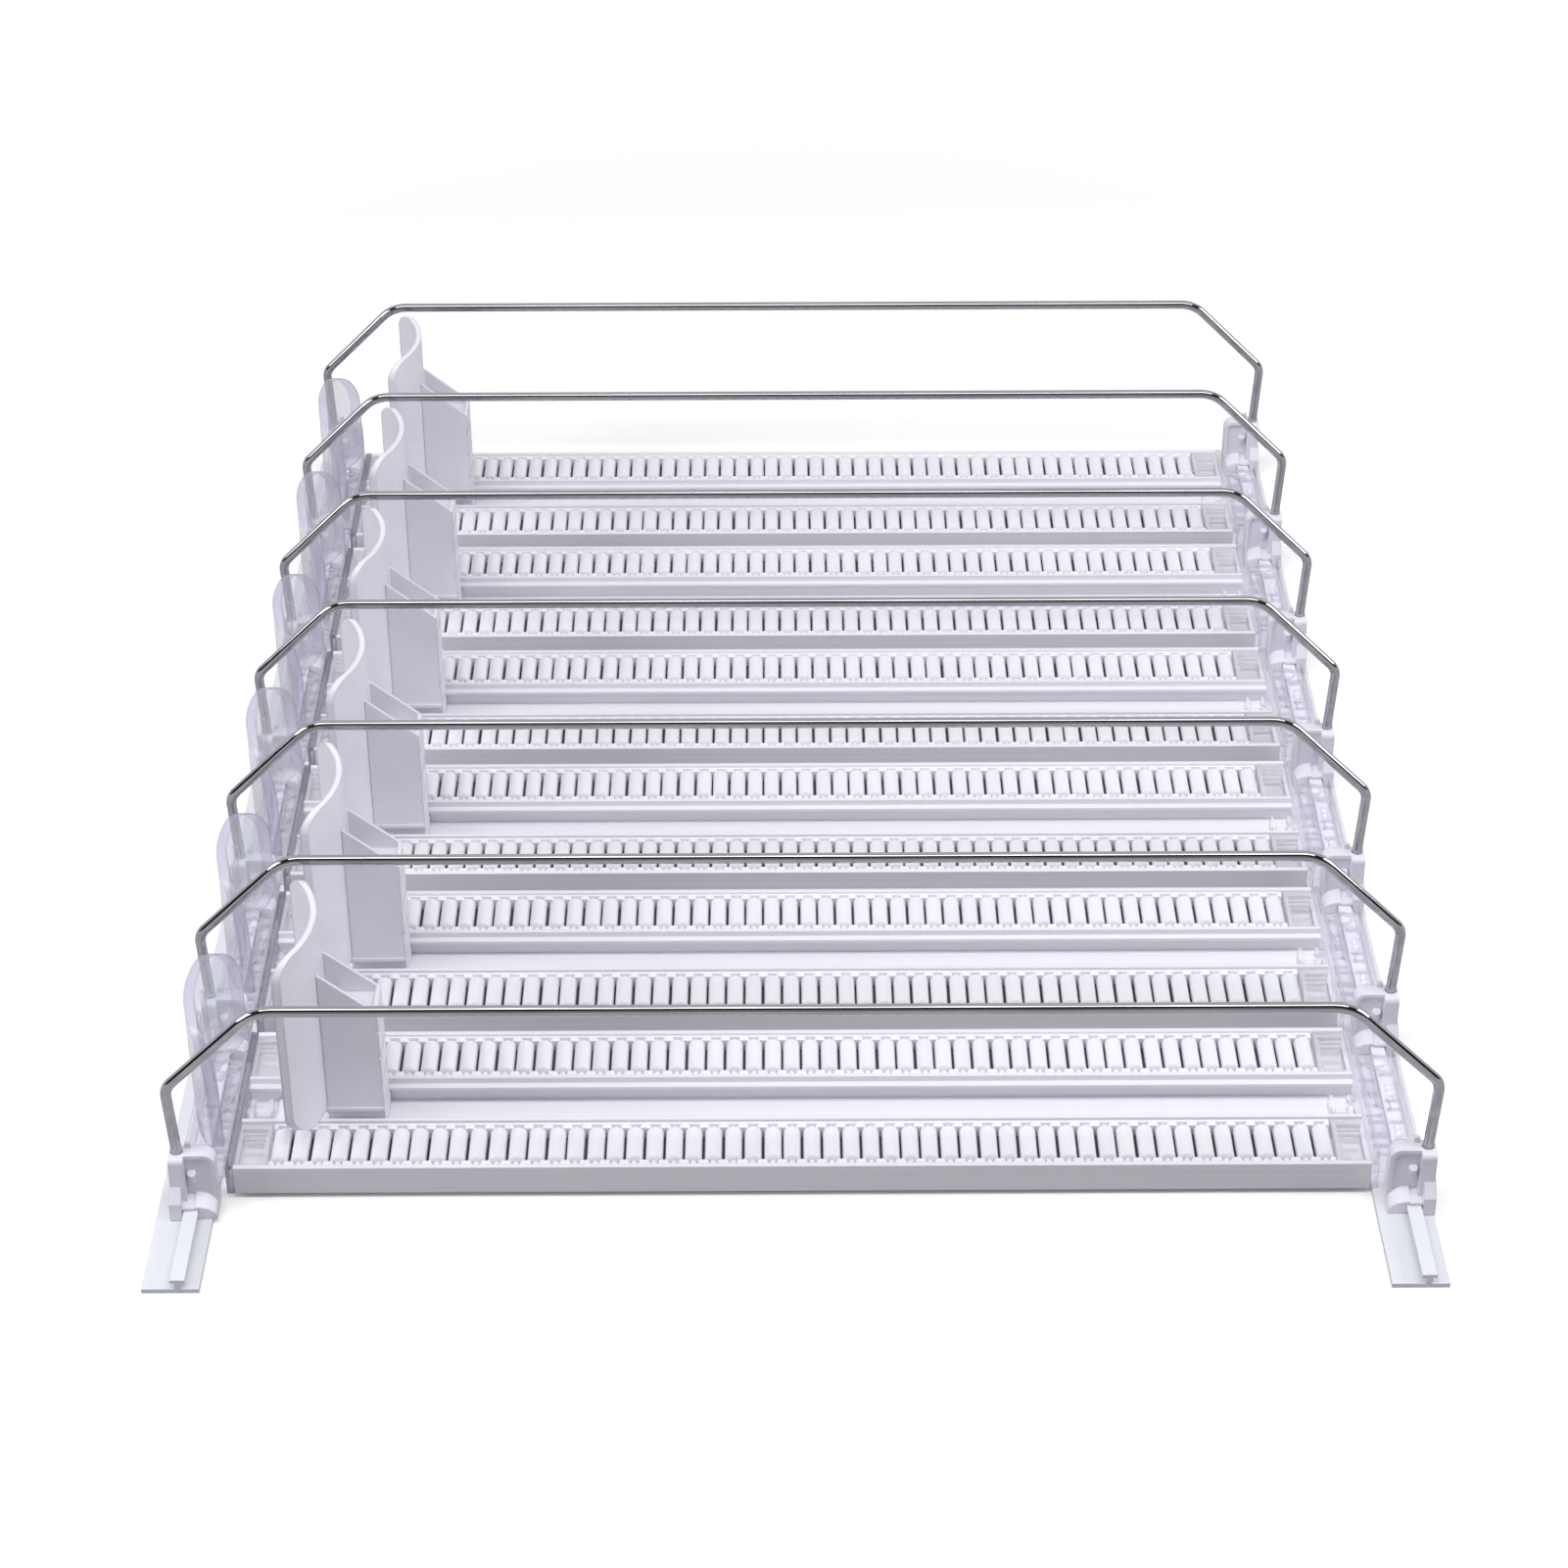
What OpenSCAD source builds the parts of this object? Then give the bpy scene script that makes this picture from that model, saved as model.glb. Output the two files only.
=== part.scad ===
// Roller shelf for cans and bottles: trays of small rollers stand side by side
// between two ridged rails. Wire dividers part the lanes, and a sprung pusher in
// each lane moves the goods up to a clear front stop.
// X runs along the lanes with the customer's side at -X, Y across them, Z up.

/* [Lanes] */
// Number of lanes side by side
lane_count = 6; // [2:1:10]
// Gap between neighbouring trays, with a divider in its middle
tray_gap = 9; // [8:0.5:16]

/* [Rails] */
// Distance from a tray's end to the ridge of its rail
ridge_room = 10.6; // [10.4:0.1:14]
// Width of a rail's flat strip
rail_w = 15.6; // [14:0.2:20]
// Thickness of the flat strip
rail_t = 1.4; // [1:0.1:2]
// How far the ridge stands off the middle of its strip
ridge_off = 2.1; // [0:0.1:3]
// Bare rail in front of the nearest divider
rail_near_run = 35; // [20:1:80]
// Rail behind the furthest divider
rail_far_run = 5; // [4.8:0.1:30]
// Thickness of the ridge's stem
stem_w = 1.6; // [1.2:0.1:2]
// Height of the stem below the head
stem_h = 2.1; // [1.8:0.1:3]
// Width of the ridge's head
head_w = 4; // [3.4:0.1:4.4]
// Thickness of the ridge's head
head_t = 1; // [0.8:0.1:1.6]

/* [Trays] */
// Length of a tray along the lane
tray_len = 316; // [200:1:500]
// Width of a tray
tray_w = 62; // [58:0.5:90]
// Underside of the tray above the surface
tray_z = 1.6; // [1.5:0.1:3]
// Height of the tray's outer walls
tray_h = 8.8; // [8.2:0.1:9.4]
// Thickness of the tray's walls and floor
tray_wall = 1.2; // [1:0.1:1.6]
// Width of the lip along the top of each outer wall
lip_w = 1.7; // [1.6:0.1:2.2]
// Thickness of the lips and ledges
lip_t = 0.9; // [0.7:0.1:1.2]
// Half the clear width between the inner walls
channel_half = 9; // [8.8:0.1:9.2]
// Reach of the ledge that holds the pusher down
ledge_reach = 2.2; // [1.8:0.1:2.4]
// Drop from the tray's top to the top of that ledge
ledge_drop = 1.8; // [1.6:0.1:2.4]

/* [Rollers] */
// Distance from one roller to the next
roller_pitch = 5.5; // [5.2:0.1:7]
// Diameter of a roller
roller_d = 4.9; // [4.2:0.1:5]
// Thickness of the combs beside the rollers
comb_t = 2.6; // [2.2:0.1:3.2]
// How far the rollers stand above the tray's lips
roller_proud = 0.2; // [0:0.1:0.6]
// Diameter of the journals at a roller's ends
journal_d = 2.4; // [2:0.1:2.8]
// Side play of a roller strip in its channel
strip_play = 0.2; // [0.1:0.05:0.4]

/* [Dividers] */
// Diameter of the divider wire
wire_d = 3.1; // [2.5:0.1:3.2]
// Height of the wire's middle along its top
wire_top = 68.3; // [55:0.5:80]
// Height of the shoulder where the leg bends inward
shoulder_z = 42.5; // [34:0.5:50]
// Length of the sloping stretch, measured along X
slope_run = 26; // [22:0.5:34]
// Outward lean of the legs, in degrees
leg_lean = 3; // [0:0.5:4]
// Bend radius at the shoulder
shoulder_r = 6; // [5:0.5:9]
// Bend radius at the top corner
crown_r = 12; // [8:0.5:16]
// How deep the leg stands in its bracket
leg_depth = 11.5; // [8:0.5:12]

/* [Brackets] */
// Height of a bracket above the surface
bracket_top = 20.5; // [20:0.5:26]
// Reach of a bracket from the ridge towards the tray
bracket_in = 7; // [6:0.1:7.6]
// Reach of a bracket from the ridge away from the tray
bracket_out = 5.8; // [5.4:0.1:8]
// Distance from the ridge to the divider's leg
leg_off = 3.3; // [3.2:0.1:3.6]
// Depth behind the leg
bracket_back = 2.6; // [2.6:0.1:4.4]
// Depth of the plate in front of the leg
plate_front = 2.2; // [1:0.1:2.6]
// Depth of the post in front of the leg
post_front = 4.3; // [3.8:0.1:6]
// Depth of the hook and the drum in front of the leg
hook_front = 7; // [6.8:0.1:10]

/* [End caps] */
// Length of the blocks that plug the tray's channels
block_len = 9; // [6:0.5:12]
// Thickness of the flange against the tray's end
flange_t = 2.2; // [1.6:0.1:2.6]
// How far the clamp body stops short of the tray's sides
clamp_inset = 7; // [6.5:0.5:12]
// Height of the clamp body above the surface
clamp_top = 8.4; // [8:0.1:10]
// Reach of the clamp body outside the ridge
clamp_out = 4.6; // [4:0.1:5.4]
// Radius of the front stop's curve
stop_r = 48; // [40:1:70]
// How far the front stop stops short of the tray's sides
stop_inset = 5; // [4:0.5:12]
// Top of the front stop above the surface
stop_top = 51; // [40:0.5:66]
// Thickness of the front stop
stop_t = 3; // [2:0.1:3.4]

/* [Pushers] */
// Radius of the blade's curve, near that of a can
blade_r = 33.5; // [32:0.5:44]
// Width of the blade
blade_w = 44.4; // [36:0.2:50]
// Top of the blade above the surface
blade_top = 73.5; // [68:0.5:84]
// Thickness of the blade
blade_t = 1.8; // [1.4:0.1:2.4]
// Middle of the blade's front face behind the tray's front end
blade_set = 22.8; // [21:0.2:40]
// Width of the spring box
box_w = 13; // [12.2:0.1:13.2]
// Length of the spring box
box_len = 16; // [15:0.5:20]
// Top of the spring box at the blade
box_front_top = 58.4; // [50:0.5:62]
// Top of the spring box at its rear
box_rear_top = 45.4; // [38:0.5:48]
// Drop from the box's rear edge to the lid between its sides
lid_drop = 0.9; // [0.4:0.1:2]
// Thickness of the spring box's walls
box_wall = 1.3; // [1.1:0.1:1.8]
// Outer diameter of the coiled spring
coil_d = 12; // [9:0.5:12]

/* [Hidden] */
$fn = 64;

// named clearances
ridge_fit = 0.15;   // round the ridge in brackets and clamps
leg_fit = 0.08;     // round a divider's leg in its hole
slide_fit = 0.35;   // round the pusher's foot in its channel
blade_gap = 1.6;    // from the rollers up to the blade
coil_fit = 0.3;     // round the coil in its box
rest_gap = 0.4;     // from the pusher's foot to the front cap's latch

// where things lie
lane_pitch = tray_w + tray_gap;
ridge_span = tray_len + 2 * ridge_room;
clamp_half = tray_w / 2 - clamp_inset;
stop_w = tray_w - 2 * stop_inset;
x_shift = (rail_w / 2 + ridge_off - bracket_out) / 2;
front_ridge_x = x_shift - ridge_span / 2;
rear_ridge_x = x_shift + ridge_span / 2;
rail_len = rail_near_run + lane_count * lane_pitch + rail_far_run;
near_divider_y = -rail_len / 2 + rail_near_run;
tray_front_x = x_shift - tray_len / 2;
tray_rear_x = x_shift + tray_len / 2;
tray_top = tray_z + tray_h;
floor_z = tray_z + tray_wall;
ledge_top = tray_top - ledge_drop;
ledge_low = ledge_top - lip_t;
slot_half = channel_half - ledge_reach;
head_low = rail_t + stem_h;
head_top = head_low + head_t;
clamp_low = rail_t + ridge_fit;

// roller strips
channel_in = channel_half + tray_wall;
channel_out = tray_w / 2 - tray_wall;
channel_w = channel_out - channel_in;
channel_mid = (channel_in + channel_out) / 2;
strip_w = channel_w - 2 * strip_play;
roller_len = strip_w - 2 * comb_t;
comb_top = tray_top - 0.7;
comb_base_h = 3.6;
cup_d = journal_d + 0.8;
roller_z = tray_top + roller_proud - roller_d / 2;
roller_count = floor((tray_len - 2 * block_len - 2 * strip_play) / roller_pitch);
strip_len = roller_count * roller_pitch;

// divider wire, seen from the front
leg_x = ridge_span / 2 + leg_off;
leg_foot = [leg_x - leg_depth * tan(leg_lean), bracket_top - leg_depth];
shoulder = [leg_x + (shoulder_z - bracket_top) * tan(leg_lean), shoulder_z];
crown = [shoulder[0] - slope_run, wire_top];
leg_dir = (shoulder - leg_foot) / norm(shoulder - leg_foot);
slope_dir = (crown - shoulder) / norm(crown - shoulder);
leg_turn = heading(slope_dir) - heading(leg_dir);
crown_turn = 180 - heading(slope_dir);
leg_end = shoulder - shoulder_r * tan(leg_turn / 2) * leg_dir;
slope_start = shoulder + shoulder_r * tan(leg_turn / 2) * slope_dir;
slope_end = crown - crown_r * tan(crown_turn / 2) * slope_dir;
top_end = crown - [crown_r * tan(crown_turn / 2), 0];
bend_step = 0.02;
bend_reach = 0.3;

// bracket details
post_in = leg_off - 2.1;
post_out = leg_off + 2.1;
hook_in = head_w / 2 + 0.4;
hook_top = head_top + 2.6;
hook_slope = 4.2;
drum_in = -head_w / 2 + 1;
drum_r = bracket_in + drum_in;
drum_side = 0.7;
drum_rise = 3;
drum_tilt = 25;
drum_front = hook_front - 0.9;
ramp_top = head_top + 2.4;
plate_rim = 1.2;
plate_recess = 0.6;
bracket_round = 3;
peg = [1.5, 1.2, 1.6];
boss_d = 2.6;
boss_len = 5;
boss_tilt = 24;
boss_x = post_in - 1.8;
boss_z = head_top + 10.4;

// end cap details
end_slot = [1.2, 2.6];
latch_len = block_len - 1.6;
deck_top = head_top + 1;
cover_top = deck_top + 1.6;
deck_floor = floor_z + 2;
rim_t = 1.3;
rib_t = 1.2;
rib_off = 5;
stop_low = deck_top - 0.1;
stop_round_top = 17;
stop_round_low = 5;
stop_edge_low = deck_top + 6;
stop_foot_top = stop_edge_low + 4;

// pusher details
blade_low = tray_top + roller_proud + blade_gap;
blade_round_top = 6;
blade_round_low = 9;
blade_front_x = tray_front_x + blade_set;
box_front_x = blade_front_x + blade_t - 0.5;
box_rear_x = box_front_x + box_len;
box_low = tray_top + 0.9;
skirt_reach = 0.9;
skirt_t = 1.3;
neck_half = slot_half - slide_fit;
foot_half = channel_half - slide_fit;
foot_low = floor_z + slide_fit;
foot_top = ledge_low - slide_fit;
foot_front_x = tray_front_x + latch_len + rest_gap;
coil_z = box_low + skirt_t + coil_fit + coil_d / 2;
coil_x = (box_front_x + box_rear_x) / 2 + 0.2;
coil_w = box_w - 2 * box_wall - 2 * coil_fit;
coil_bore = 5;
lid_gap = 4;

// Y of divider i, counted from 1 at the near side
function divider_y(i) = near_divider_y + (i - 1) * lane_pitch;
// Y of the middle of lane i
function lane_y(i) = near_divider_y + (i - 0.5) * lane_pitch;

// Angle of a direction in the XZ plane, and that direction turned a quarter left
function heading(d) = atan2(d[1], d[0]);
function turned(d) = [-d[1], d[0]];

// A flat outline in Y and Z drawn out along X, from x0 to x1
module along_x(x0, x1) {
    translate([x0, 0, 0]) rotate([90, 0, 90]) linear_extrude(x1 - x0) children();
}

// A flat outline in X and Z drawn out along Y, from y0 to y1
module along_y(y0, y1) {
    translate([0, y1, 0]) rotate([90, 0, 0]) linear_extrude(y1 - y0) children();
}

// A rectangle from corner a to corner b
module area(a, b) {
    translate(a) square(b - a);
}

// A block from corner a to corner b
module block(a, b) {
    translate(a) cube(b - a);
}

// A rectangle from a to b, with its low corners rounded by r_low and its top ones by r_top
module rounded_area(a, b, r_low, r_top) {
    difference() {
        area(a, b);
        for (side = [0, 1], up = [0, 1]) {
            r = up == 1 ? r_top : r_low;
            corner = [side == 1 ? b[0] : a[0], up == 1 ? b[1] : a[1]];
            centre = corner + r * [1 - 2 * side, 1 - 2 * up];
            difference() {
                area([min(corner[0], centre[0]), min(corner[1], centre[1])],
                     [max(corner[0], centre[0]), max(corner[1], centre[1])]);
                translate(centre) circle(r);
            }
        }
    }
}

// A rectangle from a to b, with the corner at a's side of its top rounded by r
module rounded_corner(a, b, r) {
    difference() {
        area(a, b);
        translate([a[0], b[1] - r])
            difference() {
                area([0, 0], [r, r]);
                translate([r, 0]) circle(r);
            }
    }
}

// A rectangle w wide from low up to rise, left of the origin, whose top curves
// down to its left side at height 0
module domed_area(w, low, rise) {
    difference() {
        area([-w, low], [0, rise]);
        difference() {
            area([-w, 0], [0, rise]);
            scale([w, rise]) circle(1);
        }
    }
}

// The ridge of a rail, grown by play on every side
module ridge_section(play) {
    area([-stem_w / 2 - play, rail_t - 0.5], [stem_w / 2 + play, head_low]);
    area([-head_w / 2 - play, head_low - play], [head_w / 2 + play, head_top + play]);
}

module rail(ridge_x) {
    color("whitesmoke")
    translate([ridge_x, 0, 0])
    along_y(-rail_len / 2, rail_len / 2) {
        area([-ridge_off - rail_w / 2, 0], [-ridge_off + rail_w / 2, rail_t]);
        area([-stem_w / 2, rail_t - 0.1], [stem_w / 2, head_low + 0.1]);
        area([-head_w / 2, head_low], [head_w / 2, head_top]);
    }
}

// One straight stretch of wire from a to b, in the XZ plane. It is a hair
// thinner than the bends and reaches into them, past the ends that are joined
module wire_straight(a, b, join_a, join_b) {
    dir = (b - a) / norm(b - a);
    from = a - join_a * bend_reach * dir;
    translate([from[0], 0, from[1]])
    rotate([0, atan2(dir[0], dir[1]), 0])
    cylinder(d = wire_d - 2 * bend_step, h = norm(b - a) + (join_a + join_b) * bend_reach);
}

// One bend of wire round centre c, from angle start and through sweep
module wire_bend(c, r, start, sweep) {
    translate([c[0], 0, c[1]])
    rotate([90, 0, 0])
    rotate([0, 0, start])
    rotate_extrude(angle = sweep) translate([r, 0]) circle(d = wire_d);
}

// One side of a divider: leg, shoulder and slope, up to the top's straight run
module divider_side() {
    wire_straight(leg_foot, leg_end, 0, 1);
    wire_bend(leg_end + shoulder_r * turned(leg_dir), shoulder_r, heading(leg_dir) - 90, leg_turn);
    wire_straight(slope_start, slope_end, 1, 1);
    wire_bend(slope_end + crown_r * turned(slope_dir), crown_r, heading(slope_dir) - 90, crown_turn);
}

module divider_wire(i) {
    color("silver")
    translate([x_shift, divider_y(i), 0]) {
        divider_side();
        mirror([1, 0, 0]) divider_side();
        wire_straight([-top_end[0], top_end[1]], top_end, 1, 1);
    }
}

// A bracket at the origin: X away from the tray, its leg hole at y = 0
module bracket_shape() {
    difference() {
        union() {
            // tall plate beside the leg
            difference() {
                along_y(-plate_front, bracket_back)
                    rounded_corner([-bracket_in, clamp_low], [post_in + 0.1, bracket_top], bracket_round);
                along_y(-plate_front - 1, -plate_front + plate_recess)
                    rounded_corner([-bracket_in + plate_rim, clamp_low + 1], [post_in - 0.2, bracket_top - plate_rim], bracket_round - plate_rim);
            }
            // post that holds the leg, over the outer hook
            along_x(post_in, post_out)
                difference() {
                    area([-post_front, head_top + ridge_fit], [bracket_back, bracket_top]);
                    translate([-post_front, bracket_top - 1.6])
                        difference() {
                            area([0, 0], [1.6, 1.6]);
                            translate([1.6, 0]) circle(1.6);
                        }
                }
            along_x(hook_in, bracket_out)
                polygon([
                    [-hook_front, clamp_low],
                    [-hook_front, hook_top],
                    [-post_front, hook_top + hook_slope],
                    [bracket_back, hook_top + hook_slope],
                    [bracket_back, clamp_low]
                ]);
            // rounded drum on the tray side of the ridge, rising to the plate
            intersection() {
                block([-bracket_in, -drum_front, clamp_low], [drum_in, 0, boss_z]);
                translate([drum_in, -drum_front, clamp_low + drum_side])
                    rotate([drum_tilt, 0, 0])
                    along_y(-4, drum_front + 4) domed_area(drum_r, -boss_z, drum_rise);
            }
            // ramp between the jaws, over the ridge
            along_x(drum_in - 0.1, hook_in + 0.1)
                polygon([
                    [-hook_front + 0.5, head_top + ridge_fit],
                    [-hook_front + 0.5, head_top + ridge_fit + 0.8],
                    [-plate_front, ramp_top],
                    [bracket_back, ramp_top],
                    [bracket_back, head_top + ridge_fit]
                ]);
            // lips that reach under the ridge's head
            for (side = [-1, 1])
                block([side > 0 ? stem_w / 2 + ridge_fit : drum_in - 1.4, -drum_front + 0.6, clamp_low],
                      [side > 0 ? hook_in + 0.1 : -stem_w / 2 - ridge_fit, bracket_back, head_low - ridge_fit]);
            // boss on the plate's face and peg on its back edge
            translate([boss_x, -plate_front - 0.3, boss_z])
                rotate([180 + boss_tilt, 0, 0]) cylinder(d = boss_d, h = boss_len);
            block([post_in - peg[0], bracket_back - peg[1], bracket_top - 0.1],
                  [post_in, bracket_back, bracket_top + peg[2]]);
        }
        along_y(-hook_front - 1, bracket_back + 1) ridge_section(ridge_fit);
        translate([leg_off, 0, bracket_top])
            rotate([0, leg_lean, 0])
            translate([0, 0, -leg_depth - 0.2])
            cylinder(d = wire_d + 2 * leg_fit, h = leg_depth + 4);
    }
}

module front_bracket(i) {
    color("whitesmoke")
    translate([front_ridge_x, divider_y(i), 0]) mirror([1, 0, 0]) bracket_shape();
}

module rear_bracket(i) {
    color("whitesmoke")
    translate([rear_ridge_x, divider_y(i), 0]) bracket_shape();
}

// The tray's section, with its middle at y = 0
module tray_section() {
    area([-tray_w / 2, tray_z], [tray_w / 2, floor_z]);
    for (side = [0, 1]) mirror([side, 0]) {
        area([tray_w / 2 - tray_wall, tray_z], [tray_w / 2, tray_top]);
        area([tray_w / 2 - lip_w, tray_top - lip_t], [tray_w / 2, tray_top]);
        area([channel_half, tray_z], [channel_in, tray_top]);
        area([slot_half, ledge_low], [channel_in, ledge_top]);
    }
}

module tray(i) {
    color("gainsboro")
    translate([0, lane_y(i), 0])
    difference() {
        along_x(tray_front_x, tray_rear_x) tray_section();
        // slots in the floor's ends, on both sides of the caps' latches
        for (x = [tray_front_x, tray_rear_x - end_slot[0]], y = [-slot_half, slot_half - end_slot[1]])
            block([x, y, tray_z - 1], [x + end_slot[0], y + end_slot[1], floor_z + 1]);
    }
}

// Side view of the rollers over their base
module roller_row_section() {
    area([0, floor_z], [strip_len, floor_z + comb_base_h]);
    for (k = [0 : roller_count - 1])
        translate([(k + 0.5) * roller_pitch, roller_z]) circle(d = roller_d);
}

// Side view of a comb with a cup for each journal
module comb_section() {
    difference() {
        area([0, floor_z], [strip_len, comb_top]);
        for (k = [0 : roller_count - 1])
            translate([(k + 0.5) * roller_pitch, comb_top]) circle(d = cup_d);
    }
}

// One strip of rollers in its cradle, with its middle at y = 0
module roller_strip() {
    along_y(-roller_len / 2, roller_len / 2) roller_row_section();
    for (side = [0, 1]) mirror([0, side, 0])
        along_y(roller_len / 2, strip_w / 2) comb_section();
}

module roller_strips(i) {
    color("white")
    for (side = [-1, 1])
        translate([x_shift - strip_len / 2, lane_y(i) + side * channel_mid, 0]) roller_strip();
}

// A thin curved rib in plan: two arcs of radius r that meet in an S at the origin
module s_rib(r, reach, t) {
    for (turn = [0, 180])
        rotate(turn)
        translate([-r, 0])
        difference() {
            intersection() {
                circle(r + t / 2);
                area([0, -0.05], [r + t, reach]);
            }
            circle(r - t / 2);
        }
}

// An end cap at the rear end of a tray: x = 0 is the tray's end, y = 0 its middle
module cap_shape() {
    clamp_end = ridge_room + clamp_out;
    cover_in = ridge_room - 3;
    cover_out = clamp_end - rim_t - 0.8;
    // blocks that plug the two roller channels
    for (side = [-1, 1])
        translate([0, side * channel_mid, 0]) {
            difference() {
                block([-block_len, -strip_w / 2, floor_z], [0.1, strip_w / 2, comb_top]);
                block([-block_len + 1.4, -strip_w / 2 + 1.4, deck_floor], [-1.2, strip_w / 2 - 5, comb_top + 1]);
                block([-block_len + 1.4, strip_w / 2 - 4, deck_floor + 2.2], [-0.8, strip_w / 2 - 2.4, comb_top + 1]);
            }
            block([-block_len + 2, -strip_w / 2 + 2.2, deck_floor - 0.1], [-block_len + 4, -strip_w / 2 + 4, comb_top - 1.6]);
        }
    // latch in the pusher's channel, a bar with a crosspiece at its end
    block([-latch_len, -1.4, floor_z], [0.1, 1.4, ledge_low - 1.4]);
    for (x = [-latch_len, -2.2])
        block([x, -3.6, floor_z], [x + 1.4, 3.6, ledge_low - 0.2]);
    // flange across the tray's end, with a groove along its top and a rib behind
    difference() {
        block([0, -tray_w / 2, tray_z], [flange_t, tray_w / 2, tray_top]);
        block([0.7, -tray_w / 2 + 1.2, tray_top - 1.2], [flange_t - 0.7, tray_w / 2 - 1.2, tray_top + 1]);
    }
    block([flange_t - 0.1, -clamp_half, clamp_low], [flange_t + 1.2, clamp_half, tray_top - 1.2]);
    // clamp body over the rail's ridge
    difference() {
        union() {
            block([flange_t - 0.1, -clamp_half, clamp_low], [clamp_end, clamp_half, deck_top]);
            block([clamp_end - rim_t, -clamp_half, deck_top - 0.1], [clamp_end, clamp_half, clamp_top]);
            block([cover_in, -clamp_half + 1.6, deck_top - 0.1], [cover_out, clamp_half - 9, cover_top]);
        }
        translate([ridge_room, 0, 0])
            along_y(-clamp_half - 1, clamp_half + 1) ridge_section(ridge_fit);
        // windows that the mould needs over the ridge
        for (y = [-clamp_half / 2, clamp_half / 4])
            block([ridge_room - 0.9, y - 2.6, head_top - 1], [ridge_room + 0.9, y + 2.6, clamp_top + 1]);
    }
    // ribs on the deck: an S along it, two across its near end and a ring at its far end
    translate([(flange_t + cover_in) / 2, clamp_half / 4, deck_top - 0.1])
        linear_extrude(cover_top - deck_top) s_rib(clamp_half / 2, clamp_half / 2.6, 0.8);
    for (y = [-clamp_half + 1.6, -clamp_half + 5])
        block([flange_t + 1, y, deck_top - 0.1], [cover_in + 0.1, y + 0.8, cover_top - 0.4]);
    translate([ridge_room - 2.4, clamp_half - 4.6, deck_top - 0.1])
        scale([1.25, 1, 1])
        difference() {
            cylinder(r = 3.2, h = cover_top - deck_top);
            translate([0, 0, -1]) cylinder(r = 2.3, h = clamp_top);
        }
}

module rear_cap(i) {
    color([0.93, 0.92, 0.97, 0.6])
    translate([tray_rear_x, lane_y(i), 0]) cap_shape();
}

// The clear stop on a front cap, with its middle over the ridge at x = 0
module front_stop() {
    intersection() {
        along_x(-stop_t - 1, stop_r)
            rounded_area([-stop_w / 2, stop_edge_low], [stop_w / 2, stop_top],
                         stop_round_low, stop_round_top);
        translate([stop_r - stop_t, 0, 0])
            difference() {
                cylinder(r = stop_r, h = stop_top + 1, $fn = 128);
                translate([0, 0, -1])
                    cylinder(r = stop_r - stop_t, h = stop_top + 3, $fn = 128);
            }
    }
    // foot that ties the stop to the clamp body, and two ribs up its inner face
    block([-stop_t + 0.6, -rib_off - rib_t, stop_low], [0.8, rib_off + rib_t, stop_foot_top]);
    for (side = [-1, 1])
        block([-0.6, side * rib_off - rib_t / 2, stop_low],
              [rib_t + 0.3, side * rib_off + rib_t / 2, stop_top - 6]);
}

module front_cap(i) {
    color([0.93, 0.92, 0.97, 0.6])
    translate([0, lane_y(i), 0]) {
        translate([tray_front_x, 0, 0]) mirror([1, 0, 0]) cap_shape();
        translate([front_ridge_x, 0, 0]) front_stop();
    }
}

// The curved blade, its front face's middle at x = 0
module blade() {
    intersection() {
        along_x(-blade_r, blade_t + 1)
            rounded_area([-blade_w / 2, blade_low], [blade_w / 2, blade_top],
                         blade_round_low, blade_round_top);
        translate([-blade_r, 0, 0])
            difference() {
                cylinder(r = blade_r + blade_t, h = blade_top + 1, $fn = 128);
                translate([0, 0, -1]) cylinder(r = blade_r, h = blade_top + 3, $fn = 128);
            }
    }
}

module pusher(i) {
    color("white")
    translate([0, lane_y(i), 0]) {
        translate([blade_front_x, 0, 0]) blade();
        // spring box, open at the top, with sloping sides
        difference() {
            along_y(-box_w / 2, box_w / 2)
                polygon([
                    [box_front_x, box_low],
                    [box_front_x, box_front_top],
                    [box_rear_x, box_rear_top],
                    [box_rear_x, box_low]
                ]);
            block([box_front_x + 0.6, -box_w / 2 + box_wall, box_low + skirt_t],
                  [box_rear_x - box_wall, box_w / 2 - box_wall, box_front_top + 1]);
            // notches down the rear wall
            for (z = [20, 29, 38])
                block([box_rear_x - 0.6, -box_w / 2 - 1, z], [box_rear_x + 1, box_w / 2 + 1, z + 1.4]);
        }
        // lid between the sides, open at its front
        block([box_front_x + lid_gap, -box_w / 2 + 0.2, box_rear_top - lid_drop - box_wall],
              [box_rear_x - 0.2, box_w / 2 - 0.2, box_rear_top - lid_drop]);
        block([box_front_x - 0.8, -box_w / 2 - skirt_reach, box_low],
              [box_rear_x, box_w / 2 + skirt_reach, box_low + skirt_t]);
        // neck through the channel's slot, and foot under its ledges
        block([box_front_x, -neck_half, foot_top - 0.1], [box_rear_x, neck_half, box_low + 0.1]);
        along_y(-foot_half, foot_half)
            polygon([
                [foot_front_x, foot_low],
                [foot_front_x + 1.2, foot_low + 1],
                [box_front_x - 1, foot_top],
                [box_rear_x, foot_top],
                [box_rear_x, foot_low]
            ]);
    }
}

module pusher_spring(i) {
    color("lightsteelblue")
    translate([coil_x, lane_y(i), coil_z])
    rotate([90, 0, 0])
    difference() {
        cylinder(d = coil_d, h = coil_w, center = true);
        cylinder(d = coil_bore, h = coil_w + 1, center = true);
    }
}

rail(front_ridge_x);  // front_rail
rail(rear_ridge_x);  // rear_rail
for (i = [1 : lane_count + 1]) {
    divider_wire(i);
    front_bracket(i);
    rear_bracket(i);
}
for (i = [1 : lane_count]) {
    tray(i);
    roller_strips(i);
    front_cap(i);
    rear_cap(i);
    pusher(i);
    pusher_spring(i);
}
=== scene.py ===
import bpy, bmesh, math
from mathutils import Matrix, Vector


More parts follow.
